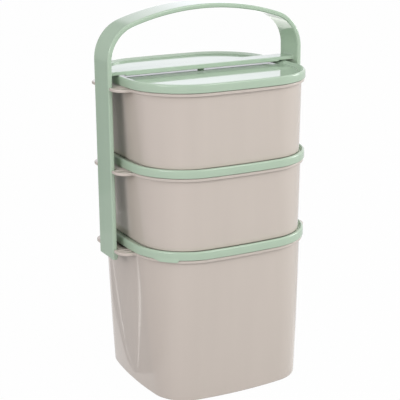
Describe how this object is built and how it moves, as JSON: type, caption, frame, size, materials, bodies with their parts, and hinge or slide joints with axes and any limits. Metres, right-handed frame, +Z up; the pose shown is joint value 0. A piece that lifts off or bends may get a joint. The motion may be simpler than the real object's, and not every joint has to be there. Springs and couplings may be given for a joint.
{
  "type": "stacking lunch box with carry handle",
  "caption": "Stacked plastic lunch box: a deep tub under shallow tubs with press-on lids, held by an arched carry handle whose legs snap down both sides.",
  "frame": {"origin": "on the table, under the middle of the stack", "axes": "+Z up through the stack, +X along the cross bar to the right leg, +Y to the back; the corner with the bottom lid's pull tab is at -X -Y"},
  "size_m": [0.1708, 0.144, 0.304],
  "materials": {
    "beige_plastic": "moulded polypropylene, warm beige, smooth and glossy",
    "green_plastic": "moulded polypropylene, pale sage green, smooth and glossy"
  },
  "bodies": {
    "bottom_tub": {"bottom_tub": "beige_plastic"},
    "bottom_lid": {"bottom_lid": "green_plastic"},
    "middle_tub": {"middle_tub": "beige_plastic"},
    "middle_lid": {"middle_lid": "green_plastic"},
    "top_tub": {"top_tub": "beige_plastic"},
    "top_lid": {"top_lid": "green_plastic"},
    "carry_handle": {"carry_handle": "green_plastic"}
  },
  "joints": [
    {"name": "bottom_lid_lift", "type": "slide", "parent": "bottom_tub", "child": "bottom_lid", "axis": [0, 0, 1], "range_m": [0, 0.04]},
    {"name": "middle_tub_lift", "type": "slide", "parent": "bottom_lid", "child": "middle_tub", "axis": [0, 0, 1], "range_m": [0, 0.04]},
    {"name": "middle_lid_lift", "type": "slide", "parent": "middle_tub", "child": "middle_lid", "axis": [0, 0, 1], "range_m": [0, 0.04]},
    {"name": "top_tub_lift", "type": "slide", "parent": "middle_lid", "child": "top_tub", "axis": [0, 0, 1], "range_m": [0, 0.04]},
    {"name": "top_lid_lift", "type": "slide", "parent": "top_tub", "child": "top_lid", "axis": [0, 0, 1], "range_m": [0, 0.04]},
    {"name": "handle_pull", "type": "slide", "parent": "top_lid", "child": "carry_handle", "axis": [0, 0, 1], "range_m": [0, 0.15]}
  ]
}
